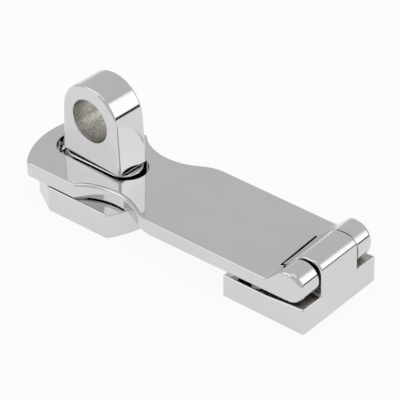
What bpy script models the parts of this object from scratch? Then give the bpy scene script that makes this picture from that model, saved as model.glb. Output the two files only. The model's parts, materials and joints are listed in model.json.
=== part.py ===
"""Hasp and staple with a swivel eye, in polished cast stainless steel.

Everything is in metres. The hinge base and the staple base stand on one mounting plane,
z = 0. The leaf turns on a pin along Y at the hinge base, and when it is closed its slot
lies over the boss of the staple base. The eye stands on that boss and turns about Z on a
shank, which is riveted over a washer under the base. The origin is the middle of the
hinge base's underside, and the leaf reaches towards -X.
"""

import math

import bmesh
import bpy
from mathutils import Matrix

# Leaf
LEAF_WIDTH = 0.0285
LEAF_THICKNESS = 0.00415
HEAD_WALL = 0.0046
HEAD_END_RADIUS = 0.022
HEAD_CORNER_RADIUS = 0.0025
WAIST_WIDTH = 0.0204
WAIST_FROM_EYE = 0.01245
WAIST_RADIUS = 0.016
WAIST_BLEND_RADIUS = 0.015

# Hinge base, knuckles and pin
BASE_LENGTH = 0.0252
BASE_HEIGHT = 0.0062
BASE_END_RISE = 0.0011
CENTRE_KNUCKLE_WIDTH = 0.014
FLANK_ANGLE = math.radians(45)
PIN_DIAMETER = 0.004
PIN_ABOVE_LEAF = 0.00055
PIN_COVER = 0.0018

# Staple base and its boss
STAPLE_SIDE_PROUD = 0.00025
STAPLE_HEIGHT = 0.007
EYE_FROM_HINGE = 0.07075
STAPLE_FLAT_TO_TIP = 0.0066
STAPLE_FLAT_TO_HEEL = 0.0127
STAPLE_FACET_LENGTH = 0.0092
STAPLE_FACET_ANGLE = math.radians(31.5)
STAPLE_TIP_BOW = 0.0022
STAPLE_HEEL_BOW = 0.00475
BOSS_SIDE_MARGIN = 0.00005
BOSS_END_MARGIN = 0.00185
BOSS_PROUD = 0.00035
POCKET_DIAMETER = 0.012
POCKET_DEPTH = 0.0044

# Swivel eye and what holds it down
EYE_LENGTH = 0.019
EYE_THICKNESS = 0.0099
EYE_BORE = 0.012
EYE_ROUND_HEIGHT = 0.0133
EYE_BORE_DROP = 0.0006
EYE_EDGE_ROUND = 0.001
EYE_TURN = math.radians(3.5)
SHANK_DIAMETER = 0.007
RIVET_DIAMETER = 0.0094
RIVET_HEIGHT = 0.0009
WASHER_THICKNESS = 0.0012
SPRING_THICKNESS = 0.0006
SPRING_CONE = 0.0005

# Fixing screws' holes
SCREW_HOLE = 0.0042
SCREW_HEAD = 0.0078
BASE_HOLE_FROM_SIDE = 0.00665
BASE_HOLE_FROM_END = 0.0062
STAPLE_HOLE_FROM_BOSS = 0.0046

# Clearances and edges
SEAT_GAP = 0.0003
KNUCKLE_GAP = 0.00035
POCKET_GAP = 0.0005
SLOT_SIDE_CLEARANCE = 0.00024
SLOT_HEEL_CLEARANCE = 0.0017
SLOT_TIP_CLEARANCE = 0.0034
EDGE_ROUND = 0.0007
BOSS_EDGE_ROUND = 0.0004
CUT_MARGIN = 0.001

# Smoothness of round shapes
ARC_STEP = math.radians(7.5)
ROUND_SIDES = 48

# Heights
LEAF_LOW = STAPLE_HEIGHT + SEAT_GAP
LEAF_TOP = LEAF_LOW + LEAF_THICKNESS
BOSS_TOP = LEAF_TOP + BOSS_PROUD
EYE_FOOT = BOSS_TOP + SEAT_GAP
AXIS_Z = LEAF_TOP + PIN_ABOVE_LEAF
KNUCKLE_RADIUS = AXIS_Z - LEAF_LOW

# Places along the hasp
BASE_END = BASE_LENGTH / 2
AXIS_X = BASE_END - KNUCKLE_RADIUS
FLANK_FOOT_X = (
    AXIS_X
    - KNUCKLE_RADIUS / math.sin(FLANK_ANGLE)
    - (AXIS_Z - LEAF_TOP) / math.tan(FLANK_ANGLE)
)
EYE_X = AXIS_X - EYE_FROM_HINGE
BOSS_HALF_LENGTH = EYE_LENGTH / 2 + BOSS_END_MARGIN
BOSS_HALF_WIDTH = EYE_THICKNESS / 2 + BOSS_SIDE_MARGIN

# The slot lets the eye pass as it stands, a little turned, with its edges rounded
EYE_HALF_SPAN = (
    (EYE_LENGTH / 2 - EYE_EDGE_ROUND) * math.sin(EYE_TURN)
    + (EYE_THICKNESS / 2 - EYE_EDGE_ROUND) * math.cos(EYE_TURN)
    + EYE_EDGE_ROUND
)
SLOT_HALF_WIDTH = EYE_HALF_SPAN + SLOT_SIDE_CLEARANCE
SLOT_HEEL_X = EYE_X + BOSS_HALF_LENGTH + SLOT_HEEL_CLEARANCE
SLOT_TIP_X = EYE_X - BOSS_HALF_LENGTH - SLOT_TIP_CLEARANCE
HEAD_TIP_X = SLOT_TIP_X - HEAD_WALL

# Heights of the pieces in the pocket under the staple base, from the top down
SPRING_TOP = POCKET_DEPTH - SEAT_GAP
SPRING_LOW = SPRING_TOP - SPRING_CONE - SPRING_THICKNESS
WASHER_TOP = SPRING_LOW - SEAT_GAP
WASHER_LOW = WASHER_TOP - WASHER_THICKNESS
RIVET_TOP = WASHER_LOW - SEAT_GAP
SHANK_BORE_RADIUS = SHANK_DIAMETER / 2 + SEAT_GAP
POCKET_RING_RADIUS = POCKET_DIAMETER / 2 - POCKET_GAP


# Scene and collections

def clear_scene():
    """Remove every object that the file opened with."""
    for old in list(bpy.data.objects):
        bpy.data.objects.remove(old, do_unlink=True)


def new_collection(name):
    """Add a collection to the scene."""
    collection = bpy.data.collections.new(name)
    bpy.context.scene.collection.children.link(collection)
    return collection


def steel(name, shade, roughness):
    """Make a stainless steel material of one shade."""
    material = bpy.data.materials.new(name)
    material.use_nodes = True
    shader = material.node_tree.nodes["Principled BSDF"]
    shader.inputs["Base Color"].default_value = (shade, shade, shade, 1.0)
    shader.inputs["Metallic"].default_value = 1.0
    shader.inputs["Roughness"].default_value = roughness
    return material


# Outlines, as lists of points in a plane

def arc(centre_u, centre_v, radius, start, stop):
    """Points along an arc, both ends included, about one every ARC_STEP."""
    count = max(2, math.ceil(abs(stop - start) / ARC_STEP))
    angles = [start + (stop - start) * step / count for step in range(count + 1)]
    return [(centre_u + radius * math.cos(a), centre_v + radius * math.sin(a)) for a in angles]


def without_repeats(points):
    """Drop a point that lies on the one before it, where two stretches meet."""
    kept = []
    for point in points:
        if not kept or math.dist(kept[-1], point) > SEAT_GAP / 10:
            kept.append(point)
    if math.dist(kept[0], kept[-1]) <= SEAT_GAP / 10:
        kept.pop()
    return kept


def mirrored(front):
    """Close a front half, listed from the hinge towards the tip, with its mirror image."""
    back = [(u, -v) for u, v in reversed(front)]
    return without_repeats(front + back)


def stadium(low_u, high_u, half_width):
    """A slot shape with full-round ends."""
    heel = arc(high_u - half_width, 0, half_width, -math.pi / 2, math.pi / 2)
    tip = arc(low_u + half_width, 0, half_width, math.pi / 2, 3 * math.pi / 2)
    return heel + tip


def bow(half_chord, rise):
    """Radius and half angle of the arc that rises so far over a chord."""
    radius = (half_chord ** 2 + rise ** 2) / (2 * rise)
    return radius, math.atan2(half_chord, radius - rise)


def leaf_outline():
    """Plan of the leaf: straight sides, a drawn-in waist and a bowed head."""
    side = LEAF_WIDTH / 2
    waist_x = EYE_X + WAIST_FROM_EYE
    waist_v = -WAIST_WIDTH / 2 - WAIST_RADIUS
    blend_v = -side + WAIST_BLEND_RADIUS
    blend_x = waist_x + math.sqrt(
        (WAIST_RADIUS + WAIST_BLEND_RADIUS) ** 2 - (blend_v - waist_v) ** 2
    )
    turn = math.atan2(blend_v - waist_v, blend_x - waist_x)
    kink = math.pi - math.asin((-side - waist_v) / WAIST_RADIUS)
    blend = arc(blend_x, blend_v, WAIST_BLEND_RADIUS, -math.pi / 2, turn - math.pi)
    waist = arc(waist_x, waist_v, WAIST_RADIUS, turn, kink)
    end_x = HEAD_TIP_X + HEAD_END_RADIUS
    corner_v = -side + HEAD_CORNER_RADIUS
    corner_x = end_x - math.sqrt((HEAD_END_RADIUS - HEAD_CORNER_RADIUS) ** 2 - corner_v ** 2)
    corner_angle = math.atan2(corner_v, corner_x - end_x)
    corner = arc(corner_x, corner_v, HEAD_CORNER_RADIUS, -math.pi / 2, corner_angle)
    end = arc(end_x, 0, HEAD_END_RADIUS, corner_angle, -math.pi)
    hinge = [(BASE_END + CUT_MARGIN, -side)]
    return mirrored(hinge + blend + waist + corner + end)


def knuckle_arc(start):
    """The knuckle's round from an angle up to its flank, and the foot of the flank."""
    top = math.pi / 2 + FLANK_ANGLE
    return arc(AXIS_X, AXIS_Z, KNUCKLE_RADIUS, start, top) + [(FLANK_FOOT_X, LEAF_TOP)]


def leaf_profile():
    """Side view of the leaf: a flat plate that rolls up into the knuckle."""
    tip = HEAD_TIP_X - CUT_MARGIN
    return without_repeats([(tip, LEAF_LOW)] + knuckle_arc(-math.pi / 2) + [(tip, LEAF_TOP)])


def staple_outline():
    """Plan of the staple base: two flats, a bowed heel and a bowed tip between two facets."""
    side = LEAF_WIDTH / 2 + STAPLE_SIDE_PROUD
    heel_end = EYE_X + STAPLE_FLAT_TO_HEEL
    heel_radius, heel_angle = bow(side, STAPLE_HEEL_BOW)
    heel = arc(heel_end + STAPLE_HEEL_BOW - heel_radius, 0, heel_radius, 0, -heel_angle)
    flat_end = (EYE_X - STAPLE_FLAT_TO_TIP, -side)
    facet_run = STAPLE_FACET_LENGTH * math.cos(STAPLE_FACET_ANGLE)
    facet_rise = STAPLE_FACET_LENGTH * math.sin(STAPLE_FACET_ANGLE)
    tip_x = flat_end[0] - facet_run - STAPLE_TIP_BOW
    tip_radius, tip_angle = bow(side - facet_rise, STAPLE_TIP_BOW)
    tip = arc(tip_x + tip_radius, 0, tip_radius, tip_angle - math.pi, -math.pi)
    return mirrored(heel + [flat_end] + tip)


def eye_outline():
    """Front view of the eye: upright sides under a full-round top."""
    half = EYE_LENGTH / 2
    centre = EYE_FOOT + EYE_ROUND_HEIGHT
    return [(-half, EYE_FOOT), (half, EYE_FOOT)] + arc(0, centre, half, 0, math.pi)


# Solids

class Builder:
    """Makes the named pieces and their cutters in two collections."""

    def __init__(self):
        clear_scene()
        self.parts = new_collection("hasp_and_staple")
        self.cutters = new_collection("cutters")

    def add(self, name, mesh, collection):
        """Link a mesh as a named object."""
        piece = bpy.data.objects.new(name, mesh)
        collection.objects.link(piece)
        if collection is self.cutters:
            piece.hide_render = True
            piece.display_type = "WIRE"
        return piece

    def prism(self, name, outline, low, high, along="Z", collection=None):
        """Extrude an outline: a plan along Z, or a side view along Y."""
        curve = bpy.data.curves.new(name, "CURVE")
        curve.dimensions = "2D"
        curve.fill_mode = "BOTH"
        curve.extrude = (high - low) / 2
        spline = curve.splines.new("POLY")
        spline.use_cyclic_u = True
        spline.points.add(len(outline) - 1)
        for point, (u, v) in zip(spline.points, outline):
            point.co = (u, v, 0, 1)
        holder = self.add(name + "_curve", curve, self.cutters)
        bpy.context.view_layer.update()
        seen = holder.evaluated_get(bpy.context.evaluated_depsgraph_get())
        mesh = bpy.data.meshes.new_from_object(seen)
        bpy.data.objects.remove(holder, do_unlink=True)
        weld_caps(mesh)
        middle = (low + high) / 2
        if along == "Z":
            mesh.transform(Matrix.Translation((0, 0, middle)))
        else:
            upright = Matrix.Rotation(math.pi / 2, 4, "X")
            mesh.transform(Matrix.Translation((0, middle, 0)) @ upright)
        return self.add(name, mesh, collection or self.parts)

    def cone(self, name, low_radius, high_radius, length, place, collection=None):
        """A round bar or cone of a length along Z, then put in its place."""
        mesh = bpy.data.meshes.new(name)
        shape = bmesh.new()
        bmesh.ops.create_cone(
            shape, cap_ends=True, segments=ROUND_SIDES,
            radius1=low_radius, radius2=high_radius, depth=length, matrix=place,
        )
        shape.to_mesh(mesh)
        shape.free()
        return self.add(name, mesh, collection or self.parts)

    def upright(self, name, radius, x, y, low, high, collection=None, top_radius=None):
        """A round bar or cone that stands on Z."""
        place = Matrix.Translation((x, y, (low + high) / 2))
        return self.cone(name, radius, top_radius or radius, high - low, place, collection)

    def crosswise(self, name, radius, x, z, low, high, collection=None):
        """A round bar that lies along Y."""
        place = Matrix.Translation((x, (low + high) / 2, z)) @ Matrix.Rotation(math.pi / 2, 4, "X")
        return self.cone(name, radius, radius, high - low, place, collection)

    def turned(self, name, profile):
        """Turn a closed profile, listed down its outer side first, about Z."""
        mesh = bpy.data.meshes.new(name)
        edges = [(i, (i + 1) % len(profile)) for i in range(len(profile))]
        mesh.from_pydata([(r, 0, z) for r, z in profile], edges, [])
        piece = self.add(name, mesh, self.parts)
        screw = piece.modifiers.new("turn", "SCREW")
        screw.axis = "Z"
        screw.steps = ROUND_SIDES
        screw.render_steps = ROUND_SIDES
        screw.use_merge_vertices = True
        screw.merge_threshold = 0.000001
        return piece

    def screw_hole(self, piece, name, x, y, top):
        """Cut a countersunk hole from a top face through to the mounting plane."""
        hole = self.upright(name, SCREW_HOLE / 2, x, y, -CUT_MARGIN, top + CUT_MARGIN, self.cutters)
        depth = (SCREW_HEAD - SCREW_HOLE) / 2
        sink = self.upright(
            name + "_sink", SCREW_HOLE / 2, x, y, top - depth, top + CUT_MARGIN, self.cutters,
            top_radius=SCREW_HEAD / 2 + CUT_MARGIN,
        )
        combine(piece, hole, "DIFFERENCE")
        combine(piece, sink, "DIFFERENCE")


def weld_caps(mesh):
    """Join a filled curve's caps to its sides, as whole flat faces that point out."""
    shape = bmesh.new()
    shape.from_mesh(mesh)
    bmesh.ops.remove_doubles(shape, verts=shape.verts, dist=0.000001)
    bmesh.ops.dissolve_limit(shape, angle_limit=math.radians(0.5), verts=shape.verts, edges=shape.edges)
    bmesh.ops.recalc_face_normals(shape, faces=shape.faces)
    shape.to_mesh(mesh)
    shape.free()


def combine(piece, other, operation):
    """Add an exact Boolean: DIFFERENCE, UNION or INTERSECT."""
    boolean = piece.modifiers.new(other.name, "BOOLEAN")
    boolean.operation = operation
    boolean.solver = "EXACT"
    boolean.object = other


def round_edges(piece, width, segments=2):
    """Round the sharp edges that a piece has at this point."""
    bevel = piece.modifiers.new("round_edges", "BEVEL")
    bevel.width = width
    bevel.segments = segments
    bevel.limit_method = "ANGLE"
    bevel.angle_limit = math.radians(40)


def finish(piece, material):
    """Give a piece its steel and smooth shading on its round faces."""
    piece.data.materials.clear()
    piece.data.materials.append(material)
    piece.data.shade_smooth()
    piece.data.set_sharp_from_angle(angle=math.radians(30))


def hang_on(piece, holder):
    """Parent a piece to an empty on its axis, without moving it."""
    piece.data.transform(Matrix.Translation(-holder.location))
    piece.parent = holder


# Pieces

def make_leaf(build):
    """The leaf: plate, slotted head and the two outer knuckles."""
    side = LEAF_WIDTH / 2
    leaf = build.prism("hasp_leaf", leaf_profile(), -side - CUT_MARGIN, side + CUT_MARGIN, "Y")
    plan = build.prism(
        "leaf_plan", leaf_outline(), LEAF_LOW - CUT_MARGIN, AXIS_Z + KNUCKLE_RADIUS + CUT_MARGIN,
        collection=build.cutters,
    )
    combine(leaf, plan, "INTERSECT")
    round_edges(leaf, EDGE_ROUND)
    slot = build.prism(
        "leaf_slot", stadium(SLOT_TIP_X, SLOT_HEEL_X, SLOT_HALF_WIDTH),
        LEAF_LOW - CUT_MARGIN, LEAF_TOP + CUT_MARGIN, collection=build.cutters,
    )
    combine(leaf, slot, "DIFFERENCE")
    half_gap = CENTRE_KNUCKLE_WIDTH / 2 + KNUCKLE_GAP
    near = FLANK_FOOT_X - KNUCKLE_GAP
    far = BASE_END + CUT_MARGIN
    notch = build.prism(
        "leaf_notch", [(near, -half_gap), (far, -half_gap), (far, half_gap), (near, half_gap)],
        LEAF_LOW - CUT_MARGIN, AXIS_Z + KNUCKLE_RADIUS + CUT_MARGIN, collection=build.cutters,
    )
    combine(leaf, notch, "DIFFERENCE")
    bore = build.crosswise(
        "leaf_pin_bore", PIN_DIAMETER / 2 + SEAT_GAP, AXIS_X, AXIS_Z,
        -side + PIN_COVER, side + CUT_MARGIN, build.cutters,
    )
    combine(leaf, bore, "DIFFERENCE")
    return leaf


def make_hinge_base(build):
    """The hinge base: a plate with a rising end and the centre knuckle on its wall."""
    side = LEAF_WIDTH / 2
    plate = [
        (-BASE_END, 0), (BASE_END, 0), (BASE_END, BASE_HEIGHT + BASE_END_RISE),
        (FLANK_FOOT_X, BASE_HEIGHT), (-BASE_END, BASE_HEIGHT),
    ]
    base = build.prism("hinge_base", plate, -side, side, "Y")
    round_edges(base, EDGE_ROUND)
    root = BASE_HEIGHT / 2
    wall_outline = [(FLANK_FOOT_X, root), (BASE_END, root)] + knuckle_arc(0)
    half_wall = CENTRE_KNUCKLE_WIDTH / 2
    wall = build.prism("hinge_wall", wall_outline, -half_wall, half_wall, "Y", build.cutters)
    combine(base, wall, "UNION")
    bore = build.crosswise(
        "base_pin_bore", PIN_DIAMETER / 2 + SEAT_GAP, AXIS_X, AXIS_Z, -side, side, build.cutters,
    )
    combine(base, bore, "DIFFERENCE")
    hole_x = -BASE_END + BASE_HOLE_FROM_END
    hole_y = side - BASE_HOLE_FROM_SIDE
    for label, way in (("front", -1), ("back", 1)):
        build.screw_hole(base, "base_hole_" + label, hole_x, way * hole_y, BASE_HEIGHT)
    return base


def make_hinge_pin(build):
    """The pin, pressed in from the back and stopped by the blind front knuckle."""
    side = LEAF_WIDTH / 2
    return build.crosswise(
        "hinge_pin", PIN_DIAMETER / 2, AXIS_X, AXIS_Z, -side + PIN_COVER + SEAT_GAP, side - SEAT_GAP,
    )


def make_staple_base(build):
    """The staple base: a thick foot with the boss that fills the leaf's slot."""
    base = build.prism("staple_base", staple_outline(), 0, STAPLE_HEIGHT)
    round_edges(base, EDGE_ROUND)
    boss = build.prism(
        "staple_boss",
        stadium(EYE_X - BOSS_HALF_LENGTH, EYE_X + BOSS_HALF_LENGTH, BOSS_HALF_WIDTH),
        STAPLE_HEIGHT / 2, BOSS_TOP, collection=build.cutters,
    )
    round_edges(boss, BOSS_EDGE_ROUND)
    combine(base, boss, "UNION")
    bore = build.upright(
        "shank_bore", SHANK_BORE_RADIUS, EYE_X, 0, -CUT_MARGIN, BOSS_TOP + CUT_MARGIN, build.cutters,
    )
    combine(base, bore, "DIFFERENCE")
    pocket = build.upright(
        "rivet_pocket", POCKET_DIAMETER / 2, EYE_X, 0, -CUT_MARGIN, POCKET_DEPTH, build.cutters,
    )
    combine(base, pocket, "DIFFERENCE")
    hole_y = BOSS_HALF_WIDTH + STAPLE_HOLE_FROM_BOSS
    for label, way in (("front", -1), ("back", 1)):
        build.screw_hole(base, "staple_hole_" + label, EYE_X, way * hole_y, STAPLE_HEIGHT)
    return base


def make_eye(build):
    """The eye: a round-topped block with the shackle's bore, on a riveted shank."""
    half = EYE_THICKNESS / 2
    eye = build.prism("swivel_eye", eye_outline(), -half, half, "Y")
    round_edges(eye, EYE_EDGE_ROUND, 3)
    bore = build.crosswise(
        "eye_bore", EYE_BORE / 2, 0, EYE_FOOT + EYE_ROUND_HEIGHT - EYE_BORE_DROP,
        -EYE_THICKNESS, EYE_THICKNESS, build.cutters,
    )
    combine(eye, bore, "DIFFERENCE")
    shank = build.upright(
        "eye_shank", SHANK_DIAMETER / 2, 0, 0, RIVET_TOP - RIVET_HEIGHT / 2,
        EYE_FOOT + CUT_MARGIN, build.cutters,
    )
    combine(eye, shank, "UNION")
    rivet = build.upright(
        "eye_rivet", RIVET_DIAMETER / 2, 0, 0, RIVET_TOP - RIVET_HEIGHT, RIVET_TOP, build.cutters,
    )
    combine(eye, rivet, "UNION")
    return eye, [bore, shank, rivet]


def make_retaining_washer(build):
    """The washer that the shank is riveted over."""
    ring = [
        (POCKET_RING_RADIUS, WASHER_TOP), (POCKET_RING_RADIUS, WASHER_LOW),
        (SHANK_BORE_RADIUS, WASHER_LOW), (SHANK_BORE_RADIUS, WASHER_TOP),
    ]
    return build.turned("retaining_washer", ring)


def make_disc_spring(build):
    """The coned spring that keeps the eye from turning by itself."""
    outer_top = SPRING_TOP - SPRING_CONE
    ring = [
        (POCKET_RING_RADIUS, outer_top), (POCKET_RING_RADIUS, SPRING_LOW),
        (SHANK_BORE_RADIUS, SPRING_LOW + SPRING_CONE), (SHANK_BORE_RADIUS, SPRING_TOP),
    ]
    return build.turned("disc_spring", ring)


def make_axis(build, name, place):
    """An empty on a joint's axis."""
    axis = bpy.data.objects.new(name, None)
    axis.location = place
    build.cutters.objects.link(axis)
    return axis


def main():
    """Build the hasp closed over its staple."""
    build = Builder()
    polished = steel("mirror_polished_stainless", 0.62, 0.06)
    plain = steel("turned_stainless", 0.5, 0.3)
    sprung = steel("spring_stainless", 0.4, 0.35)

    leaf = make_leaf(build)
    pin = make_hinge_pin(build)
    hinge_axis = make_axis(build, "hinge_axis", (AXIS_X, 0, AXIS_Z))
    for piece in (leaf, pin):
        hang_on(piece, hinge_axis)

    hinge_base = make_hinge_base(build)
    staple_base = make_staple_base(build)

    eye, eye_tools = make_eye(build)
    washer = make_retaining_washer(build)
    spring = make_disc_spring(build)
    swivel_axis = make_axis(build, "swivel_axis", (EYE_X, 0, 0))
    for piece in (eye, washer, *eye_tools):
        piece.parent = swivel_axis
    swivel_axis.rotation_euler.z = -EYE_TURN
    spring.location.x = EYE_X

    for piece in (leaf, hinge_base, staple_base, eye):
        finish(piece, polished)
    for piece in (pin, washer):
        finish(piece, plain)
    finish(spring, sprung)


main()
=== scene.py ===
# %% [markdown]
# # A polished cast hasp and staple
# The hasp is seven pieces of stainless steel. Four are castings that were ground and buffed to a mirror:
# the slotted leaf, the hinge base, the staple base and the padlock eye. Three are small turned or pressed
# pieces: the hinge pin, and the washer and spring that hold the eye down from below.
# The solids that carry the sizes and the joints come in as a frame. This lesson dresses each of them
# with a finer shape and a real finish, then sets up the light and the camera.

# %% Start from the frame
import json
import math

import bmesh
import bpy
from mathutils import Matrix, Vector


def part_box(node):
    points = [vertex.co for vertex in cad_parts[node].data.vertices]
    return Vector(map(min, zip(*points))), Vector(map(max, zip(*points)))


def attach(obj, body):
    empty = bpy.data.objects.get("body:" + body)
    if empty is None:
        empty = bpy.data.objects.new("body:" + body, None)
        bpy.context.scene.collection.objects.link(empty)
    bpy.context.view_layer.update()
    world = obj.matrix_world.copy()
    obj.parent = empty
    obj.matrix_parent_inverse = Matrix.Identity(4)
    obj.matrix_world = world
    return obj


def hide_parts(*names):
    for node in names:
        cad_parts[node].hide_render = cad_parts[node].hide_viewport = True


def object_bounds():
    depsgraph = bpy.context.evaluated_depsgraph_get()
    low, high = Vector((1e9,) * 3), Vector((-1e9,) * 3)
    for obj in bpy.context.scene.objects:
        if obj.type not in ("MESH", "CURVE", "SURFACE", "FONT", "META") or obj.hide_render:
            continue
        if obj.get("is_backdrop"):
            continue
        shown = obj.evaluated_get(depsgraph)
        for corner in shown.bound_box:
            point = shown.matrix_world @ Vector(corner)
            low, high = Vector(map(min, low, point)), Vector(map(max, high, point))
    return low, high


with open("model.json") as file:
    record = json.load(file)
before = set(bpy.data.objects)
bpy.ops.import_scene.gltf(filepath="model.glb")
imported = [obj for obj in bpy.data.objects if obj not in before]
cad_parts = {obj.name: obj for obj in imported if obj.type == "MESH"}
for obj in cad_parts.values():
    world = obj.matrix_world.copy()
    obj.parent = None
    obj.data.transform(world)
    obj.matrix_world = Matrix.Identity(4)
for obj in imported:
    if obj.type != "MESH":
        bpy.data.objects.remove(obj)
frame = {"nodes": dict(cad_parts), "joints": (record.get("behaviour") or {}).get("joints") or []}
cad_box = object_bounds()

print("pieces in the frame:", ", ".join(sorted(frame["nodes"])))

# %% [markdown]
# ## Sizes
# A mirror shows every mistake, so the fine shapes have to sit exactly where the plain solids sit.
# The boxes of the frame's pieces and the places of its joints give the main sizes. What no box can tell,
# such as the waist's arcs, the slot and the fillets, is written in millimetres where it is first needed.

# %% Read the main sizes from the frame
MM = 0.001
LEAF_THICK = 4.15 * MM
joint = {entry["name"]: Vector(entry["pos_m"]) for entry in frame["joints"]}
hinge_x, hinge_z = joint["leaf_hinge"].x, joint["leaf_hinge"].z
eye_x = joint["eye_swivel"].x
leaf_box, staple_box, eye_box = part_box("hasp_leaf"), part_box("staple_base"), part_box("swivel_eye")
pin_box, washer_box, spring_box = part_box("hinge_pin"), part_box("retaining_washer"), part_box("disc_spring")

leaf_side = leaf_box[1].y
leaf_low = leaf_box[0].z
knuckle_radius = hinge_z - leaf_low
leaf_top = leaf_low + LEAF_THICK
head_tip = leaf_box[0].x
base_end = hinge_x + knuckle_radius
flank_foot = hinge_x - knuckle_radius * math.sqrt(2) - (hinge_z - leaf_top)
leaf_length = base_end - head_tip
print(f"leaf {leaf_length / MM:.1f} mm long, {2 * leaf_side / MM:.1f} mm wide, top at {leaf_top / MM:.2f} mm")

# %% [markdown]
# ## Outlines and solids
# Each casting starts as flat outlines made of lines and arcs, pushed into solids and joined or cut with
# Booleans. Sculpting or subdivision could make them too, but their flat faces would ripple like water in
# a mirror finish. Arcs in steps of two degrees stay smooth under a sharp reflection.

# %% Helpers for outlines
ARC_STEP, SAME_POINT = math.radians(2), 0.02 * MM


def arc(centre_u, centre_v, radius, start, stop):
    """Points along an arc, both ends included."""
    count = max(3, math.ceil(abs(stop - start) / ARC_STEP))
    angles = [start + (stop - start) * step / count for step in range(count + 1)]
    return [(centre_u + radius * math.cos(a), centre_v + radius * math.sin(a)) for a in angles]


def closed(points):
    """Drop the points where two stretches of an outline repeat each other."""
    kept = []
    for point in points:
        if not kept or math.dist(kept[-1], point) > SAME_POINT:
            kept.append(point)
    if math.dist(kept[0], kept[-1]) <= SAME_POINT:
        kept.pop()
    return kept


def both_sides(front):
    """Close the front half of a plan with its mirror image."""
    return closed(front + [(u, -v) for u, v in reversed(front)])


print("a quarter round has", len(arc(0, 0, MM, 0, math.pi / 2)), "points")

# %% Helpers for solids
BAR_SIDES = 144


def add_piece(name, shape):
    """Turn a bmesh into an object with its faces outwards."""
    bmesh.ops.recalc_face_normals(shape, faces=shape.faces)
    mesh = bpy.data.meshes.new(name)
    shape.to_mesh(mesh)
    shape.free()
    piece = bpy.data.objects.new(name, mesh)
    bpy.context.scene.collection.objects.link(piece)
    return piece


def push_out(name, outline, low, high, along="Z"):
    """Push a plan along Z, a side view along Y or an end view along X."""
    shape = bmesh.new()
    places = {"X": lambda u, v, w: (w, u, v), "Y": lambda u, v, w: (u, w, v), "Z": lambda u, v, w: (u, v, w)}
    place = places[along]
    face = shape.faces.new([shape.verts.new(place(u, v, low)) for u, v in outline])
    top = bmesh.ops.extrude_face_region(shape, geom=[face])["geom"]
    step = Vector(place(0, 0, high - low))
    bmesh.ops.translate(shape, verts=[v for v in top if isinstance(v, bmesh.types.BMVert)], vec=step)
    return add_piece(name, shape)


def round_bar(name, radius, start, stop):
    """A round bar between two points."""
    start, stop = Vector(start), Vector(stop)
    turn = (stop - start).to_track_quat("Z", "Y").to_matrix().to_4x4()
    shape = bmesh.new()
    bmesh.ops.create_cone(
        shape, cap_ends=True, segments=BAR_SIDES, radius1=radius, radius2=radius,
        depth=(stop - start).length, matrix=Matrix.Translation((start + stop) / 2) @ turn,
    )
    return add_piece(name, shape)


print("round bars have", BAR_SIDES, "sides")

# %% [markdown]
# ## Working the solids
# A modifier can wait, but here each one is turned into plain mesh at once, so that the next step works
# on real edges. A bevel then plays the part of the buffing wheel: it rounds whatever is still sharp. Every
# edge has a weight, so the wheel can work one place harder and leave another alone.
# Booleans may list the same result in another order from run to run, and a bevel can answer with another
# shape. So each result is put in order by place before the next step, and every run gives the same hasp.
# The solids are closed, so the quick Manifold solver does for all of them.

# %% Helpers that settle and sort a mesh
def settle(piece):
    """Turn a piece's modifiers into plain mesh."""
    bpy.context.view_layer.update()
    seen = piece.evaluated_get(bpy.context.evaluated_depsgraph_get())
    mesh = bpy.data.meshes.new_from_object(seen)
    piece.modifiers.clear()
    piece.data = mesh


def in_order(mesh):
    """List a mesh's corners and faces by place, so that every run gives the same mesh."""
    spots = [tuple(round(c / MM, 4) for c in vertex.co) for vertex in mesh.vertices]
    corners = sorted(range(len(spots)), key=lambda i: spots[i])
    rank = {old: new for new, old in enumerate(corners)}
    faces = []
    for face in mesh.polygons:
        loop = [rank[i] for i in face.vertices]
        first = loop.index(min(loop))
        faces.append(loop[first:] + loop[:first])
    places = [mesh.vertices[i].co.copy() for i in corners]
    mesh.clear_geometry()
    mesh.from_pydata(places, [], sorted(faces))


# %% A helper that cuts and joins
WELD, FLAT_WITHIN = 0.001 * MM, math.radians(0.3)


def combine(piece, other, operation):
    """Cut, join or intersect with another solid, which is used up."""
    boolean = piece.modifiers.new("combine", "BOOLEAN")
    boolean.operation = operation
    boolean.solver = "MANIFOLD"
    boolean.object = other
    settle(piece)
    bpy.data.objects.remove(other, do_unlink=True)
    in_order(piece.data)
    shape = bmesh.new()
    shape.from_mesh(piece.data)
    bmesh.ops.remove_doubles(shape, verts=shape.verts, dist=WELD)
    bmesh.ops.dissolve_limit(shape, angle_limit=FLAT_WITHIN, verts=shape.verts, edges=shape.edges)
    shape.to_mesh(piece.data)
    shape.free()
    in_order(piece.data)


# %% Helpers that round and smooth
SHARP_OVER = math.radians(35)


def buff(piece, width, segments=4, sharper_than=50, share=None, clamp=True):
    """Round every edge that is sharper than an angle, each by its share of a width."""
    shape = bmesh.new()
    shape.from_mesh(piece.data)
    layers = shape.edges.layers.float
    weight = layers.get("bevel_weight_edge") or layers.new("bevel_weight_edge")
    for edge in shape.edges:
        sharp = edge.calc_face_angle(0) > math.radians(sharper_than)
        middle = (edge.verts[0].co + edge.verts[1].co) / 2
        edge[weight] = (share(middle) if share else 1.0) if sharp else 0.0
    shape.to_mesh(piece.data)
    shape.free()
    bevel = piece.modifiers.new("buff", "BEVEL")
    bevel.limit_method = "WEIGHT"
    bevel.width = width
    bevel.segments = segments
    bevel.loop_slide = False
    bevel.use_clamp_overlap = clamp
    settle(piece)
    in_order(piece.data)


def smooth(piece):
    """Shade smoothly, with each flat face keeping its own direction."""
    piece.data.shade_smooth()
    piece.data.set_sharp_from_angle(angle=SHARP_OVER)
    weighted = piece.modifiers.new("flat_faces", "WEIGHTED_NORMAL")
    weighted.keep_sharp = True
    weighted.weight = 100
    settle(piece)
    print(f"{piece.name}: {len(piece.data.polygons)} faces")


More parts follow.
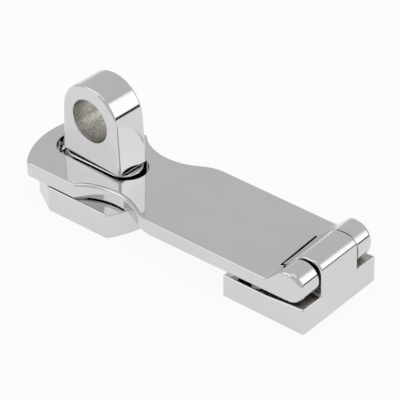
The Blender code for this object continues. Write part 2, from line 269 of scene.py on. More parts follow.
# %% [markdown]
# ## The hasp leaf
# The leaf is one casting: a flat plate with a slotted head, a drawn-in waist, and two knuckles that roll
# up over the hinge pin. It could be worked out of a box with loop cuts, but its arcs would never be true.
# Its side view and its plan are both simple, so the leaf is where the two meet: the side view pushed
# sideways, intersected with the plan pushed up. The front knuckle was ground down further than the back
# one, and it shows the middle knuckle's side as a dark crescent, so the leaf takes a second, slightly
# smaller side view for its front part.

# %% Side view of the leaf
FOOT_FILLET, GROUND_OFF, KNUCKLE_CORNER = 3.0 * MM, 0.3 * MM, 4.2 * MM


def knuckle_round(centre_x, centre_z, radius, start, corner):
    """A round from an angle up to a 45 degree flank, fuller at its outer corner."""
    full = radius - corner
    below = arc(centre_x, centre_z, radius, start, 0) if start < 0 else []
    outer = arc(centre_x + full, centre_z + full, corner, 0, math.pi / 2)
    return below + outer + arc(centre_x, centre_z, radius, math.pi / 2, math.radians(135))


def leaf_side_view(centre_x, centre_z, radius):
    """A flat plate that sweeps up a 45 degree flank into a round knuckle."""
    reach = FOOT_FILLET * math.tan(math.radians(22.5))
    foot_x = centre_x - radius * math.sqrt(2) - (centre_z - leaf_top)
    knuckle = knuckle_round(centre_x, centre_z, radius, -math.pi / 2, KNUCKLE_CORNER)
    foot = arc(foot_x - reach, leaf_top + FOOT_FILLET, FOOT_FILLET, math.radians(-45), -math.pi / 2)
    tip = head_tip - MM
    return closed([(tip, leaf_low)] + knuckle + foot + [(tip, leaf_top)])


back_part = leaf_side_view(hinge_x, hinge_z, knuckle_radius)
front_part = leaf_side_view(hinge_x - GROUND_OFF, hinge_z - GROUND_OFF, knuckle_radius - GROUND_OFF)
leaf = push_out("leaf_casting", back_part, 0, leaf_side + MM, "Y")
combine(leaf, push_out("front_part", front_part, -leaf_side - MM, 0, "Y"), "UNION")
print("side views of the leaf joined:", len(leaf.data.polygons), "faces")

# %% [markdown]
# Seen from above, the leaf has straight sides, a waist and a bowed end, and the back knuckle draws in a
# little towards its end. Hands and the wheel have worn it unevenly: the knuckles' ends are well rounded, the
# waist's edges less, and the plate's edges hardly at all. One bevel width for all would be simpler but would
# look fresh from a milling machine, so each edge's share of the width depends on its place.

# %% Plan of the leaf
WAIST_HALF, WAIST_RADIUS, WAIST_BLEND = 10.2 * MM, 16 * MM, 15 * MM
WAIST_X = eye_x + 12.45 * MM
HEAD_RADIUS, HEAD_CORNER, BACK_TAPER = 22 * MM, 2.5 * MM, 1.3 * MM


def leaf_plan():
    """Straight sides, a waist between two arcs, and a bowed end."""
    waist_v = -WAIST_HALF - WAIST_RADIUS
    blend_v = -leaf_side + WAIST_BLEND
    blend_x = WAIST_X + math.sqrt((WAIST_RADIUS + WAIST_BLEND) ** 2 - (blend_v - waist_v) ** 2)
    turn = math.atan2(blend_v - waist_v, blend_x - WAIST_X)
    kink = math.pi - math.asin((-leaf_side - waist_v) / WAIST_RADIUS)
    end_x = head_tip + HEAD_RADIUS
    corner_v = -leaf_side + HEAD_CORNER
    corner_x = end_x - math.sqrt((HEAD_RADIUS - HEAD_CORNER) ** 2 - corner_v ** 2)
    corner_turn = math.atan2(corner_v, corner_x - end_x)
    return both_sides(
        [(base_end + MM, -leaf_side)]
        + arc(blend_x, blend_v, WAIST_BLEND, -math.pi / 2, turn - math.pi)
        + arc(WAIST_X, waist_v, WAIST_RADIUS, turn, kink)
        + arc(corner_x, corner_v, HEAD_CORNER, -math.pi / 2, corner_turn)
        + arc(end_x, 0, HEAD_RADIUS, corner_turn, -math.pi)
    )


high = hinge_z + knuckle_radius + MM
plan = leaf_plan()
plan[-1:] = [(flank_foot, leaf_side), (base_end + MM, leaf_side - BACK_TAPER)]
combine(leaf, push_out("leaf_plan", plan, leaf_low - MM, high), "INTERSECT")
print("leaf cut to its plan:", len(leaf.data.polygons), "faces")

# %% Wear of the leaf's edges
KNUCKLE_END, TOP_EDGE, LOW_EDGE, WAIST_EDGE = 1.3 * MM, 0.5 * MM, 0.3 * MM, 0.5 * MM
WEAR_RAMP, WAIST_REACH, WAIST_RAMP = 3 * MM, 20 * MM, 1.5 * MM


def wear(spot):
    """The full width at the ends of the knuckles, less along the waist, and least along the plate."""
    ramp = min(1, max(0, (spot.x - hinge_x) / WEAR_RAMP + 1))
    plate = LOW_EDGE if spot.z < leaf_low + MM else TOP_EDGE
    if WAIST_X - WAIST_REACH < spot.x < WAIST_X + WAIST_REACH:
        plate += WAIST_EDGE * min(1, (leaf_side - abs(spot.y)) / WAIST_RAMP)
    return (plate + (KNUCKLE_END - plate) * ramp) / KNUCKLE_END


buff(leaf, KNUCKLE_END, 6, 50, wear, clamp=False)
print("leaf rounded:", len(leaf.data.polygons), "faces")

# %% [markdown]
# The slot could be part of the plan, but the first rounding would soften it too. So the slot, the gap and the
# pin's bore are cut last, and their edges stay crisper than the outside. The seam along the middle knuckle was
# ground by hand and runs askew, so the gap for that knuckle is drawn back towards the far side. The leaf has
# slid along its pin, which leaves more room in front of the middle knuckle than behind.

# %% Slot of the leaf
SLOT_TIP, SLOT_HEEL, SLOT_HALF = -77.6 * MM, -49.8 * MM, 5.7 * MM


def stadium(tip, heel, half):
    """A slot with full-round ends."""
    near = arc(heel - half, 0, half, -math.pi / 2, math.pi / 2)
    far = arc(tip + half, 0, half, math.pi / 2, 3 * math.pi / 2)
    return closed(near + far)


slot = push_out("slot", stadium(SLOT_TIP, SLOT_HEEL, SLOT_HALF), leaf_low - MM, leaf_top + MM)
combine(leaf, slot, "DIFFERENCE")
print(f"slot {(SLOT_HEEL - SLOT_TIP) / MM:.1f} mm long")

# %% Hinge gap and pin bore of the leaf
GAP_FRONT, GAP_BACK, GAP_NEAR = -7.65 * MM, 7.12 * MM, flank_foot - 0.3 * MM
PIN_BORE, BORE_ROOM = 2.3 * MM, 0.3 * MM
SEAM_SKEW, CUT_EDGE = 0.042, 0.25 * MM


def askew(piece):
    """Draw the foot of the flank back, more and more towards the far side."""
    for vertex in piece.data.vertices:
        share = min(1, (hinge_x - vertex.co.x) / (hinge_x - flank_foot))
        if share > 0 and vertex.co.x > flank_foot - MM:
            vertex.co.x -= SEAM_SKEW * share ** 2 * (vertex.co.y + leaf_side)


gap_far = base_end + MM
gap_plan = [(GAP_NEAR, GAP_FRONT), (gap_far, GAP_FRONT), (gap_far, GAP_BACK), (GAP_NEAR, GAP_BACK)]
gap = push_out("gap", gap_plan, leaf_low - MM, high)
askew(gap)
combine(leaf, gap, "DIFFERENCE")
bore_start = (hinge_x, pin_box[0].y - BORE_ROOM, hinge_z)
bore = round_bar("bore", PIN_BORE, bore_start, (hinge_x, leaf_side + MM, hinge_z))
combine(leaf, bore, "DIFFERENCE")
buff(leaf, CUT_EDGE, 3)
smooth(leaf)

# %% [markdown]
# ## The hinge base
# The hinge base is a thick plate whose end wall rises into the middle knuckle of the hinge. The leaf's
# knuckles turn in two notches beside the wall. Joining a plate and a wall would leave their end faces
# barely apart, which a bevel can't follow, so the base is one side view pushed over the whole width,
# and the notches are cut out of it. Their floor rises towards the end, and a fillet leads up the wall.

# %% Side view of the base
BASE_HEIGHT, END_RISE, WALL_HALF, WALL_CORNER = 6.2 * MM, 1.1 * MM, 7.0 * MM, 3.2 * MM
side_view = [(-base_end, 0), (base_end, 0)] + knuckle_round(hinge_x, hinge_z, knuckle_radius, 0, WALL_CORNER)
side_view += [(flank_foot, leaf_top), (flank_foot, BASE_HEIGHT), (-base_end, BASE_HEIGHT)]
hinge_base = push_out("hinge_base_casting", closed(side_view), -leaf_side, leaf_side, "Y")
print("side view of the base:", len(closed(side_view)), "points")

# %% Notches beside the wall
NOTCH_FILLET = 0.6 * MM


def slice_across(piece, place):
    """Add a ring of edges exactly at a place along X."""
    shape = bmesh.new()
    shape.from_mesh(piece.data)
    everything = shape.verts[:] + shape.edges[:] + shape.faces[:]
    cut = bmesh.ops.bisect_plane(shape, geom=everything, plane_co=(place, 0, 0), plane_no=(1, 0, 0))
    for vertex in cut["geom_cut"]:
        if isinstance(vertex, bmesh.types.BMVert):
            vertex.co.x = place
    shape.to_mesh(piece.data)
    shape.free()
    in_order(piece.data)


for way in (-1, 1):
    inner = arc(-WALL_HALF - NOTCH_FILLET, BASE_HEIGHT + NOTCH_FILLET, NOTCH_FILLET, -math.pi / 2, 0)
    outer = -leaf_side - MM
    end_view = [(outer, BASE_HEIGHT)] + inner + [(-WALL_HALF, high), (outer, high)]
    end_view = [(-way * u, v) for u, v in end_view]
    notch = push_out("notch", closed(end_view), flank_foot - 2 * MM, base_end + MM, "X")
    slice_across(notch, flank_foot)
    for vertex in notch.data.vertices:
        vertex.co.z += END_RISE * max(0, vertex.co.x - flank_foot) / (base_end - flank_foot)
    combine(hinge_base, notch, "DIFFERENCE")
print("notched base:", len(hinge_base.data.polygons), "faces")

# %% [markdown]
# The outer edges are rounded while every face is still flat, because a bevel on twisted faces goes wrong
# easily. The middle knuckle's flank has to follow the seam's skew too, but that waits until the holes are cut.

# %% Rounding of the base
BASE_EDGE, UNDERSIDE = 0.6 * MM, 0.01 * MM


def in_reach(spot):
    """Not the underside, nor the corner under the leaf where the wall stands on the plate."""
    corner = -MM < spot.x < flank_foot + 0.1 * MM and abs(spot.y) < WALL_HALF + 2 * MM
    return 0.0 if spot.z < UNDERSIDE or corner else 1.0


buff(hinge_base, BASE_EDGE, 5, 50, in_reach, clamp=False)
print("hinge base rounded:", len(hinge_base.data.polygons), "faces")

# %% [markdown]
# ## Screw holes
# Both bases take two countersunk wood screws, hidden under the closed leaf. The holes repeat, so a small
# Geometry Nodes tree sets out their cutters: a line of points, a cone on each point. A cone with equal
# ends is a drill, and one with a wide top is a countersink, so one tree serves for both.

# %% Helpers for node trees
def group_with(name, sizes):
    """Start a Geometry Nodes group with named number inputs."""
    tree = bpy.data.node_groups.new(name, "GeometryNodeTree")
    for label in sizes:
        tree.interface.new_socket(label, in_out="INPUT", socket_type="NodeSocketFloat")
    tree.interface.new_socket("Finish", in_out="INPUT", socket_type="NodeSocketMaterial")
    tree.interface.new_socket("Geometry", in_out="OUTPUT", socket_type="NodeSocketGeometry")
    return tree


def node(tree, kind, inputs=None, **settings):
    """Add a node, set it up, and link or set its inputs."""
    made = tree.nodes.new(kind)
    for key, value in settings.items():
        setattr(made, key, value)
    for socket, value in (inputs or {}).items():
        if isinstance(value, bpy.types.NodeSocket):
            tree.links.new(value, made.inputs[socket])
        else:
            made.inputs[socket].default_value = value
    return made


# %% A tree that sets out round cutters in a row
holes = group_with("row_of_round_cutters", ["Spread", "Low", "High", "Low Radius", "High Radius"])
given = node(holes, "NodeGroupInput").outputs
half = node(holes, "ShaderNodeMath", {0: given["Spread"], 1: 0.5}, operation="MULTIPLY").outputs[0]
minus = node(holes, "ShaderNodeMath", {0: half, 1: -1.0}, operation="MULTIPLY").outputs[0]
first = node(holes, "ShaderNodeCombineXYZ", {"Y": minus, "Z": given["Low"]}).outputs[0]
last = node(holes, "ShaderNodeCombineXYZ", {"Y": half, "Z": given["Low"]}).outputs[0]
ends = {"Count": 2, "Start Location": first, "Offset": last}
line = node(holes, "GeometryNodeMeshLine", ends, mode="END_POINTS")
depth = node(holes, "ShaderNodeMath", {0: given["High"], 1: given["Low"]}, operation="SUBTRACT").outputs[0]
cone = node(holes, "GeometryNodeMeshCone", {
    "Vertices": BAR_SIDES, "Radius Top": given["High Radius"], "Radius Bottom": given["Low Radius"], "Depth": depth,
})
placed = node(holes, "GeometryNodeInstanceOnPoints", {"Points": line.outputs[0], "Instance": cone.outputs["Mesh"]})
real = node(holes, "GeometryNodeRealizeInstances", {0: placed.outputs[0]})
coated = node(holes, "GeometryNodeSetMaterial", {"Geometry": real.outputs[0], "Material": given["Finish"]})
node(holes, "NodeGroupOutput", {0: coated.outputs[0]})
print("cutter tree:", len(holes.nodes), "nodes")

# %% Drill and countersink
SCREW_HOLE, SCREW_HEAD = 4.2 * MM, 7.8 * MM
HOLE_FROM_END, HOLE_FROM_SIDE = 6.2 * MM, 6.65 * MM


def from_tree(name, tree, sizes):
    """Run a tree once and keep its result as a plain mesh, which gets its finish later."""
    piece = bpy.data.objects.new(name, bpy.data.meshes.new(name))
    bpy.context.scene.collection.objects.link(piece)
    modifier = piece.modifiers.new("tree", "NODES")
    modifier.node_group = tree
    for socket in tree.interface.items_tree:
        if socket.in_out == "INPUT" and socket.name in sizes:
            modifier[socket.identifier] = sizes[socket.name]
    settle(piece)
    return piece


def screw_holes(piece, x, spread, top):
    """Drill a piece through and countersink it from its top face."""
    sink = (SCREW_HEAD - SCREW_HOLE) / 2
    drill = dict(zip(["Spread", "Low", "High", "Low Radius", "High Radius"],
                     [spread, -MM, top + MM, SCREW_HOLE / 2, SCREW_HOLE / 2]))
    countersink = dict(drill, **{"Low": top - sink, "High Radius": SCREW_HEAD / 2 + MM})
    for sizes in (drill, countersink):
        cutter = from_tree("cutter", holes, sizes)
        cutter.data.transform(Matrix.Translation((x, 0, 0)))
        combine(piece, cutter, "DIFFERENCE")


screw_holes(hinge_base, HOLE_FROM_END - base_end, 2 * (leaf_side - HOLE_FROM_SIDE), BASE_HEIGHT)
bore = round_bar("bore", PIN_BORE, (hinge_x, -leaf_side, hinge_z), (hinge_x, leaf_side, hinge_z))
combine(hinge_base, bore, "DIFFERENCE")
askew(hinge_base)
smooth(hinge_base)

# %% [markdown]
# ## The staple base
# The staple base is a thick foot with a bowed heel and a faceted tip, and a long boss that fills the leaf's
# slot when the hasp is closed. One bevel after joining them would round both alike, so foot and boss are
# rounded before they are joined: the foot keeps a soft edge and the boss a crisp one. Under it is a pocket
# for the parts that hold the eye.

# %% Foot and boss
HEEL_BOW, TIP_BOW = 4.75 * MM, 2.2 * MM
FACET_RUN, FACET_RISE = 7.84 * MM, 4.81 * MM
BOSS_HALF_LENGTH, BOSS_HALF, BOSS_ROOT = 11.35 * MM, 5.0 * MM, 3.5 * MM
FOOT_EDGE, BOSS_EDGE = 0.5 * MM, 0.4 * MM
STAPLE_HEIGHT = leaf_low - 0.3 * MM
boss_top = staple_box[1].z


def bow(half_chord, rise):
    """Radius and half angle of an arc that rises so far over its chord."""
    radius = (half_chord ** 2 + rise ** 2) / (2 * rise)
    return radius, math.atan2(half_chord, radius - rise)


side = staple_box[1].y
heel_radius, heel_turn = bow(side, HEEL_BOW)
tip_radius, tip_turn = bow(side - FACET_RISE, TIP_BOW)
heel = arc(staple_box[1].x - heel_radius, 0, heel_radius, 0, -heel_turn)
tip = arc(staple_box[0].x + tip_radius, 0, tip_radius, tip_turn - math.pi, -math.pi)
flat_end = (staple_box[0].x + TIP_BOW + FACET_RUN, -side)
staple_base = push_out("staple_base_casting", both_sides(heel + [flat_end] + tip), 0, STAPLE_HEIGHT)
buff(staple_base, FOOT_EDGE, 5, 20, lambda spot: float(spot.z > UNDERSIDE))
boss_plan = stadium(eye_x - BOSS_HALF_LENGTH, eye_x + BOSS_HALF_LENGTH, BOSS_HALF)
boss = push_out("boss", boss_plan, BOSS_ROOT, boss_top)
buff(boss, BOSS_EDGE, 4)
combine(staple_base, boss, "UNION")
print("staple base joined:", len(staple_base.data.polygons), "faces")

# %% Pocket, shank bore and screw holes
POCKET_RADIUS, POCKET_DEPTH, SHANK_BORE, HOLE_FROM_BOSS = 6.0 * MM, 4.4 * MM, 3.8 * MM, 4.6 * MM
for name, radius, height in (("pocket", POCKET_RADIUS, POCKET_DEPTH), ("shank", SHANK_BORE, boss_top + MM)):
    combine(staple_base, round_bar(name, radius, (eye_x, 0, -MM), (eye_x, 0, height)), "DIFFERENCE")
screw_holes(staple_base, eye_x, 2 * (BOSS_HALF + HOLE_FROM_BOSS), STAPLE_HEIGHT)
smooth(staple_base)

# %% [markdown]
# ## The swivel eye
# The eye takes the padlock's shackle. It is a block with a full-round top and a cored hole, on a shank
# that is riveted under the base, and it stands turned a few degrees. Its sides lean in a little from the
# foot up. The finished object could be turned, but every piece here keeps its place in its mesh. So the eye
# is built square at its own axis, where the outline is easy to write, and then its mesh is turned and moved.

# %% Block, bore and shank
EYE_HALF, EYE_THICK, EYE_BORE, ROUND_HEIGHT, BORE_DROP = 9.5 * MM, 9.9 * MM, 6.0 * MM, 13.3 * MM, 0.6 * MM
EYE_TURN, FOOT_FLARE, EYE_EDGE, BORE_EDGE = math.radians(-3.5), 0.7 * MM, 0.75 * MM, 0.3 * MM
SHANK, RIVET, RIVET_THICK = 3.5 * MM, 4.7 * MM, 0.9 * MM
eye_foot = boss_top + 0.3 * MM
round_z = eye_foot + ROUND_HEIGHT
bore_z = round_z - BORE_DROP
foot_half = EYE_HALF + FOOT_FLARE
outline = [(-foot_half, eye_foot), (foot_half, eye_foot)] + arc(0, round_z, EYE_HALF, 0, math.pi)
eye = push_out("eye_casting", closed(outline), -EYE_THICK / 2, EYE_THICK / 2, "Y")
buff(eye, EYE_EDGE, 6)
combine(eye, round_bar("bore", EYE_BORE, (0, -EYE_THICK, bore_z), (0, EYE_THICK, bore_z)), "DIFFERENCE")
buff(eye, BORE_EDGE, 4)
rivet_low = eye_box[0].z
for name, radius, low, high in (
    ("shank", SHANK, rivet_low + 0.4 * MM, eye_foot + MM),
    ("rivet", RIVET, rivet_low, rivet_low + RIVET_THICK),
):
    combine(eye, round_bar(name, radius, (0, 0, low), (0, 0, high)), "UNION")
eye.data.transform(Matrix.Translation((eye_x, 0, 0)) @ Matrix.Rotation(EYE_TURN, 4, "Z"))
smooth(eye)

# %% [markdown]
# ## Pin, washer and spring
# The pin is turned bar with its ends broken, and it shows as a small disc in the back knuckle. The washer
# and the coned spring sit in the pocket under the eye. A Screw modifier could turn each of them, but both
# are rings of one rule, a small rectangle with rounded corners swept round an axis, so a second Geometry
# Nodes tree makes them from their sizes.

# %% The pin
PIN_SUNK, PIN_EDGE = 1.1 * MM, 0.3 * MM
pin_radius = (pin_box[1].z - pin_box[0].z) / 2
pin_end = leaf_side - PIN_SUNK
pin = round_bar("pin_turned", pin_radius, (hinge_x, pin_box[0].y, hinge_z), (hinge_x, pin_end, hinge_z))
buff(pin, PIN_EDGE, 3)
smooth(pin)

# %% A tree that turns rings
rings = group_with("turned_ring", ["Inner Radius", "Outer Radius", "Thickness", "Cone", "Base Height", "Edge"])
given = node(rings, "NodeGroupInput").outputs
radii = {0: given["Outer Radius"], 1: given["Inner Radius"]}
total = node(rings, "ShaderNodeMath", radii, operation="ADD").outputs[0]
middle = node(rings, "ShaderNodeMath", {0: total, 1: 0.5}, operation="MULTIPLY").outputs[0]
width = node(rings, "ShaderNodeMath", radii, operation="SUBTRACT").outputs[0]
path = node(rings, "GeometryNodeCurvePrimitiveCircle", {"Resolution": 128, "Radius": middle})
section = node(rings, "GeometryNodeCurvePrimitiveQuadrilateral", {"Width": width, "Height": given["Thickness"]})
eased = node(rings, "GeometryNodeFilletCurve", {
    "Curve": section.outputs[0], "Count": 3, "Radius": given["Edge"], "Limit Radius": True,
}, mode="POLY")
swept = node(rings, "GeometryNodeCurveToMesh", {"Curve": path.outputs[0], "Profile Curve": eased.outputs[0]})
place = node(rings, "GeometryNodeInputPosition").outputs[0]
apart = node(rings, "ShaderNodeSeparateXYZ", {0: place}).outputs
flat = node(rings, "ShaderNodeCombineXYZ", {"X": apart["X"], "Y": apart["Y"]}).outputs[0]
reach = node(rings, "ShaderNodeVectorMath", {0: flat}, operation="LENGTH").outputs["Value"]
share = node(rings, "ShaderNodeMapRange", {
    "Value": reach, "From Min": given["Inner Radius"], "From Max": given["Outer Radius"],
    "To Min": given["Cone"], "To Max": 0.0,
}, clamp=False).outputs[0]
lift = node(rings, "ShaderNodeMath", {0: share, 1: given["Base Height"]}, operation="ADD").outputs[0]
offset = node(rings, "ShaderNodeCombineXYZ", {"Z": lift}).outputs[0]
coned = node(rings, "GeometryNodeSetPosition", {"Geometry": swept.outputs[0], "Offset": offset})
real = node(rings, "GeometryNodeRealizeInstances", {0: coned.outputs[0]})
coated = node(rings, "GeometryNodeSetMaterial", {"Geometry": real.outputs[0], "Material": given["Finish"]})
node(rings, "NodeGroupOutput", {0: coated.outputs[0]})
print("ring tree:", len(rings.nodes), "nodes")

# %% Turn the washer and the spring
RING_EDGE, SPRING_THICK, SPRING_CONE = 0.12 * MM, 0.6 * MM, 0.5 * MM


def turned_ring(name, box, thickness, cone):
    """A ring that fills a box of the frame round the eye's axis."""
    sizes = {
        "Inner Radius": SHANK_BORE, "Outer Radius": (box[1].x - box[0].x) / 2, "Thickness": thickness,
        "Cone": cone, "Base Height": box[0].z + thickness / 2, "Edge": RING_EDGE,
    }
    ring = from_tree(name, rings, sizes)
    shape = bmesh.new()
    shape.from_mesh(ring.data)
    bmesh.ops.remove_doubles(shape, verts=shape.verts, dist=WELD)
    bmesh.ops.recalc_face_normals(shape, faces=shape.faces)
    shape.to_mesh(ring.data)
    shape.free()
    ring.data.transform(Matrix.Translation((eye_x, 0, 0)))
    smooth(ring)
    return ring


washer = turned_ring("washer_turned", washer_box, washer_box[1].z - washer_box[0].z, 0.0)
spring = turned_ring("spring_pressed", spring_box, SPRING_THICK, SPRING_CONE)

# %% [markdown]
# ## Finishes
# All of it is one metal, stainless steel, so the finishes differ by how the surface was made. Buffing
# leaves a mirror with a slight swim and hairline scratches. The eye's two flat faces were lapped on a belt,
# which gives softer reflections. The sand mould leaves a dull grain in the places a wheel can't reach. A
# lathe leaves fine rings. An image could be laid on each, but patterns made by nodes have no seams and keep
# their real size. Colours are written as they look on a screen and turned to linear light by one function.

# %% Colour and a bare metal
def colour(code):
    """Linear colour of an sRGB hex code."""
    parts = [int(code[i:i + 2], 16) / 255 for i in (0, 2, 4)]
    return [p / 12.92 if p <= 0.04045 else ((p + 0.055) / 1.055) ** 2.4 for p in parts] + [1.0]


def new_finish(name):
    """A metal with an empty Principled shader, and the tree to add nodes to."""
    material = bpy.data.materials.new(name)
    material.use_nodes = True
    shader = material.node_tree.nodes["Principled BSDF"]
    shader.inputs["Metallic"].default_value = 1.0
    return material, material.node_tree, shader


print("mid grey in linear light:", [round(part, 3) for part in colour("808080")])

# %% The buffed and the lapped finish
# The wheel follows the casting, which gives a swim some 9 mm across. Real hairlines are about 0.02 mm wide,
# too fine to show, so they are drawn 0.3 mm wide and faint.
SWIM, SWIM_DEPTH = 9 * MM, 0.02 * MM
HAIRLINE, HAIR_DEPTH = 0.3 * MM, 0.0006 * MM


def buffed_finish(name, smoothest, dullest):
    """Buffed steel: a slight swim, and hairlines between two degrees of gloss."""
    material, tree, shader = new_finish(name)
    spot = node(tree, "ShaderNodeTexCoord").outputs["Object"]
    cloud = node(tree, "ShaderNodeTexNoise", {"Vector": spot, "Scale": 1 / SWIM, "Detail": 2.0}).outputs["Fac"]
    tint = node(tree, "ShaderNodeValToRGB", {"Fac": cloud})
    tint.color_ramp.elements[0].color = colour("D4D3D4")
    tint.color_ramp.elements[1].color = colour("DDDCDD")
    along = node(tree, "ShaderNodeMapping", {"Vector": spot, "Scale": (0.06, 1.0, 1.0)}).outputs[0]
    hair = node(tree, "ShaderNodeTexNoise", {"Vector": along, "Scale": 1 / HAIRLINE, "Detail": 3.0}).outputs["Fac"]
    gloss = node(tree, "ShaderNodeMapRange", {
        "Value": hair, "From Min": 0.35, "From Max": 0.75, "To Min": smoothest, "To Max": dullest,
    })
    swim = node(tree, "ShaderNodeBump", {"Height": cloud, "Distance": SWIM_DEPTH, "Strength": 0.6}).outputs[0]
    scratch = node(tree, "ShaderNodeBump", {
        "Height": hair, "Distance": HAIR_DEPTH, "Strength": 0.6, "Normal": swim,
    })
    tree.links.new(tint.outputs[0], shader.inputs["Base Color"])
    tree.links.new(gloss.outputs[0], shader.inputs["Roughness"])
    tree.links.new(scratch.outputs[0], shader.inputs["Normal"])
    print("finish:", name)
    return material


# Buffed cast stainless gives the eye a cool mirror, clear but not quite even.
polished = buffed_finish("buffed_cast_stainless", 0.045, 0.11)
# Belt-lapped stainless blurs what it mirrors into soft patches.
lapped = buffed_finish("belt_lapped_stainless", 0.16, 0.24)

# %% [markdown]
# The eye's hole and the undersides kept the skin of the sand mould: dull, mottled and a little warm. Real
# bumps could be modelled by displacement, but at this size a bump is enough and the mesh stays light. One
# noise drives colour, gloss and bump together, so that the dark pits are also the low ones.

# %% The as-cast finish
# Moulding sand is about 0.3 mm. The grain is drawn somewhat coarser, so that it shows.
GRAIN, GRAIN_DEPTH = 0.55 * MM, 0.08 * MM
as_cast, tree, shader = new_finish("as_cast_stainless")
spot = node(tree, "ShaderNodeTexCoord").outputs["Object"]
grain = node(tree, "ShaderNodeTexNoise", {
    "Vector": spot, "Scale": 1 / GRAIN, "Detail": 4.0, "Roughness": 0.65,
}).outputs["Fac"]
tint = node(tree, "ShaderNodeValToRGB", {"Fac": grain})
tint.color_ramp.elements[0].position = 0.3
tint.color_ramp.elements[0].color = colour("8A867E")
tint.color_ramp.elements[1].position = 0.7
tint.color_ramp.elements[1].color = colour("D6D3CD")
dull = node(tree, "ShaderNodeMapRange", {"Value": grain, "To Min": 0.22, "To Max": 0.42})
bump = node(tree, "ShaderNodeBump", {"Height": grain, "Distance": GRAIN_DEPTH, "Strength": 0.8}).outputs[0]
tree.links.new(tint.outputs[0], shader.inputs["Base Color"])
tree.links.new(dull.outputs[0], shader.inputs["Roughness"])
tree.links.new(bump, shader.inputs["Normal"])
print("finish:", as_cast.name)

# %% [markdown]
# The pin and the washer were turned from bar, and the spring was pressed from hardened strip, which is a
# little browner. A tool leaves rings round its axis. They could be cut as grooves, but they are finer than a
# hair, so a wave texture draws them, and a Mapping node centres it on each axis.

# %% The turned and the spring finishes
# Real tool marks are about 0.05 mm apart. They are drawn coarser, so that they show.
def ringed_finish(name, dark, light, pitch, middle):
    """Plain turned steel: fine rings round an axis, and a satin gloss."""
    material, tree, shader = new_finish(name)
    spot = node(tree, "ShaderNodeTexCoord").outputs["Object"]
    centred = node(tree, "ShaderNodeMapping", {"Vector": spot, "Location": middle}).outputs[0]
    rings_seen = node(tree, "ShaderNodeTexWave", {
        "Vector": centred, "Scale": 1 / (20 * pitch), "Distortion": 1.2, "Detail": 2.0,
    }, wave_type="RINGS", rings_direction="SPHERICAL").outputs["Fac"]
    tint = node(tree, "ShaderNodeValToRGB", {"Fac": rings_seen})
    tint.color_ramp.elements[0].color = colour(dark)
    tint.color_ramp.elements[1].color = colour(light)
    satin = node(tree, "ShaderNodeMapRange", {"Value": rings_seen, "To Min": 0.2, "To Max": 0.32})
    tree.links.new(tint.outputs[0], shader.inputs["Base Color"])
    tree.links.new(satin.outputs[0], shader.inputs["Roughness"])
    print("finish:", name)
    return material


# Turned stainless bar gives the eye a satin grey, and spring strip a darker, browner one.
turned = ringed_finish("turned_stainless_bar", "AEACA9", "C4C2BF", 0.2 * MM, (-hinge_x, 0, -hinge_z))
sprung = ringed_finish("spring_stainless_strip", "8D877C", "A8A297", 0.3 * MM, (-eye_x, 0, 0))

# %% [markdown]
# ## Which face gets which finish
# The wheel reaches the outside of a casting but not the cored hole of the eye, the floor of the hinge
# notches or the underside. Faces could be picked by hand, but a rule holds when a size changes: each face is
# found by where it is and which way it looks. The same step hangs every piece on its body of the frame.

# %% A helper that dresses a piece
def dress(piece, body, node_name, finish, others=()):
    """Put finishes on a piece, and let it stand for a solid of the frame."""
    piece.data.materials.clear()
    piece.data.materials.append(finish)
    counts = []
    for index, (material, belongs) in enumerate(others, 1):
        piece.data.materials.append(material)
        faces = [face for face in piece.data.polygons if belongs(face.center, face.normal)]
        for face in faces:
            face.material_index = index
        counts.append(f"{len(faces)} faces {material.name}")
    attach(piece, body)
    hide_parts(node_name)
    print(piece.name, "rides on", body, *counts)


# %% Rules for the faces, and the dressing
def underneath(centre, normal):
    return normal.z < -0.9 and centre.z < 0.1 * MM


def base_as_cast(centre, normal):
    beside_wall = abs(centre.y) > WALL_HALF - 0.05 * MM and BASE_HEIGHT - 0.05 * MM < centre.z < hinge_z
    notch = beside_wall and (normal.z > 0.6 or abs(normal.y) > 0.5) and abs(centre.y) < leaf_side - BASE_EDGE
    return underneath(centre, normal) or (notch and flank_foot < centre.x < base_end - 0.4 * MM)


def staple_as_cast(centre, normal):
    in_pocket = math.hypot(centre.x - eye_x, centre.y) < POCKET_RADIUS + 0.1 * MM
    return underneath(centre, normal) or (in_pocket and centre.z < POCKET_DEPTH + 0.1 * MM)


def eye_as_cast(centre, normal):
    return math.hypot(centre.x - eye_x, centre.z - bore_z) < EYE_BORE + 0.1 * MM and abs(normal.y) < 0.5


def eye_flat(centre, normal):
    return abs(normal.y) > 0.99 and centre.z > eye_foot


dress(leaf, "leaf", "hasp_leaf", polished)
dress(hinge_base, "bases", "hinge_base", polished, [(as_cast, base_as_cast)])
dress(staple_base, "bases", "staple_base", polished, [(as_cast, staple_as_cast)])
dress(eye, "eye", "swivel_eye", polished, [(as_cast, eye_as_cast), (lapped, eye_flat)])
dress(pin, "leaf", "hinge_pin", turned)
dress(washer, "eye", "retaining_washer", turned)
dress(spring, "bases", "disc_spring", sprung)

# %% [markdown]
# ## Floor and studio
# A mirror looks like what stands round it. The photographer's table is white paper, bright enough to burn
# out in the picture, and the room behind it is an even grey. A ready-made sky would light the hasp too, but
# its reflections would tell of another place. A large soft box at the right back draws the bright bands
# along the knuckles and the eye, and its glow fades to the left. It stands tall enough for the eye's side,
# mirrored in the leaf, to be bright as well. Where the table ends under it, a thin dark strip of room shows,
# which gives the fine dark lines beside those bands. Two plain lamps fill in from the left front and above.

